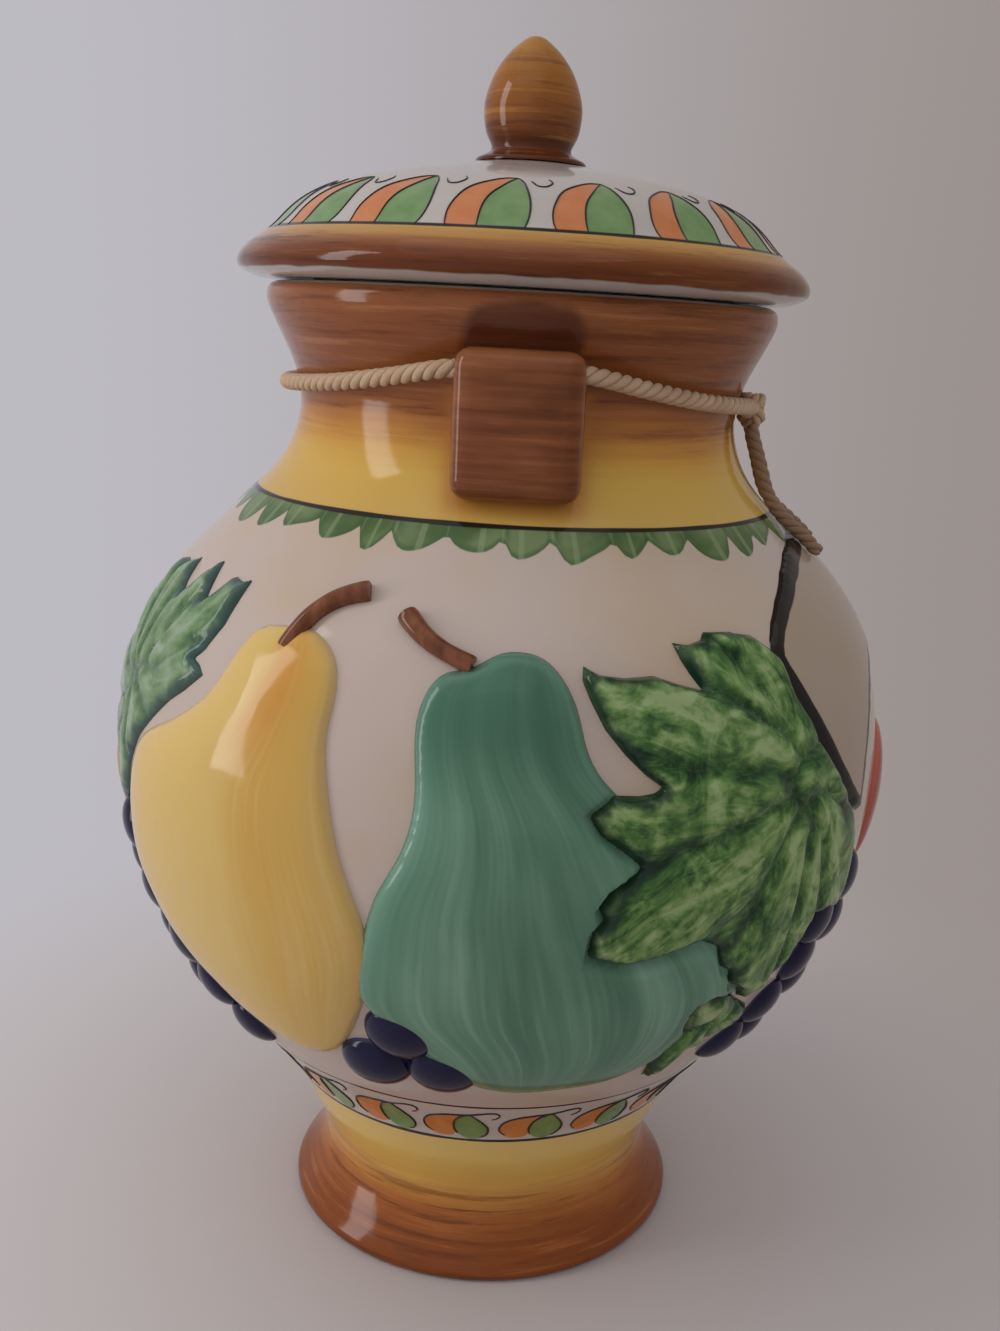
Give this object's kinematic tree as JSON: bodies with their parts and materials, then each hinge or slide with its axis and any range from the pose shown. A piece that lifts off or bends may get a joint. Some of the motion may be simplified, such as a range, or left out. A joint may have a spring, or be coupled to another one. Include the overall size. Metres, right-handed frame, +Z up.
{
  "type": "ceramic biscuit jar",
  "caption": "Footed ceramic biscuit jar with a lift-off domed lid and acorn knob, pierced neck lugs, a tied cord and moulded fruit and leaf relief.",
  "frame": {"origin": "middle of the foot's base, on the surface that the jar stands on", "axes": "+Z up along the jar's turning axis, -Y towards the front with the sign panel, +X and -X through the two lugs"},
  "size_m": [0.2016, 0.1996, 0.3026],
  "materials": {
    "cream_glaze": "gloss",
    "white_glaze": "gloss",
    "brown_glaze": "gloss",
    "gold_glaze": "gloss",
    "teal_glaze": "gloss",
    "leaf_green_glaze": "gloss",
    "navy_glaze": "gloss",
    "red_glaze": "gloss",
    "peach_glaze": "gloss",
    "cream_cord": "satin twist",
    "clear_seal": "translucent matte"
  },
  "bodies": {
    "jar": {"jar_body": "cream_glaze", "lug_left": "brown_glaze", "lug_right": "brown_glaze", "sign_panel": "cream_glaze", "red_fruit_front": "red_glaze", "peach_fruit_back": "peach_glaze", "neck_cord": "cream_cord", "cord_knot": "cream_cord", "teal_pear_left": "teal_glaze", "gold_pear_left": "gold_glaze", "vine_leaf_left": "leaf_green_glaze", "small_leaf_left": "leaf_green_glaze", "back_leaf_left": "leaf_green_glaze", "grape_trio_left": "navy_glaze", "front_grapes_left": "navy_glaze", "back_grapes_left": "navy_glaze", "gold_pear_stem_left": "brown_glaze", "teal_pear_stem_left": "brown_glaze", "cord_tail_left": "cream_cord", "teal_pear_right": "teal_glaze", "gold_pear_right": "gold_glaze", "vine_leaf_right": "leaf_green_glaze", "small_leaf_right": "leaf_green_glaze", "back_leaf_right": "leaf_green_glaze", "grape_trio_right": "navy_glaze", "front_grapes_right": "navy_glaze", "back_grapes_right": "navy_glaze", "gold_pear_stem_right": "brown_glaze", "teal_pear_stem_right": "brown_glaze", "cord_tail_right": "cream_cord"},
    "lid": {"lid": "white_glaze", "lid_knob": "brown_glaze", "lid_seal_ring": "clear_seal"}
  },
  "joints": [
    {"name": "lid_lift", "type": "slide", "parent": "jar", "child": "lid", "axis": [0, 0, 1], "range_m": [0, 0.12]}
  ]
}
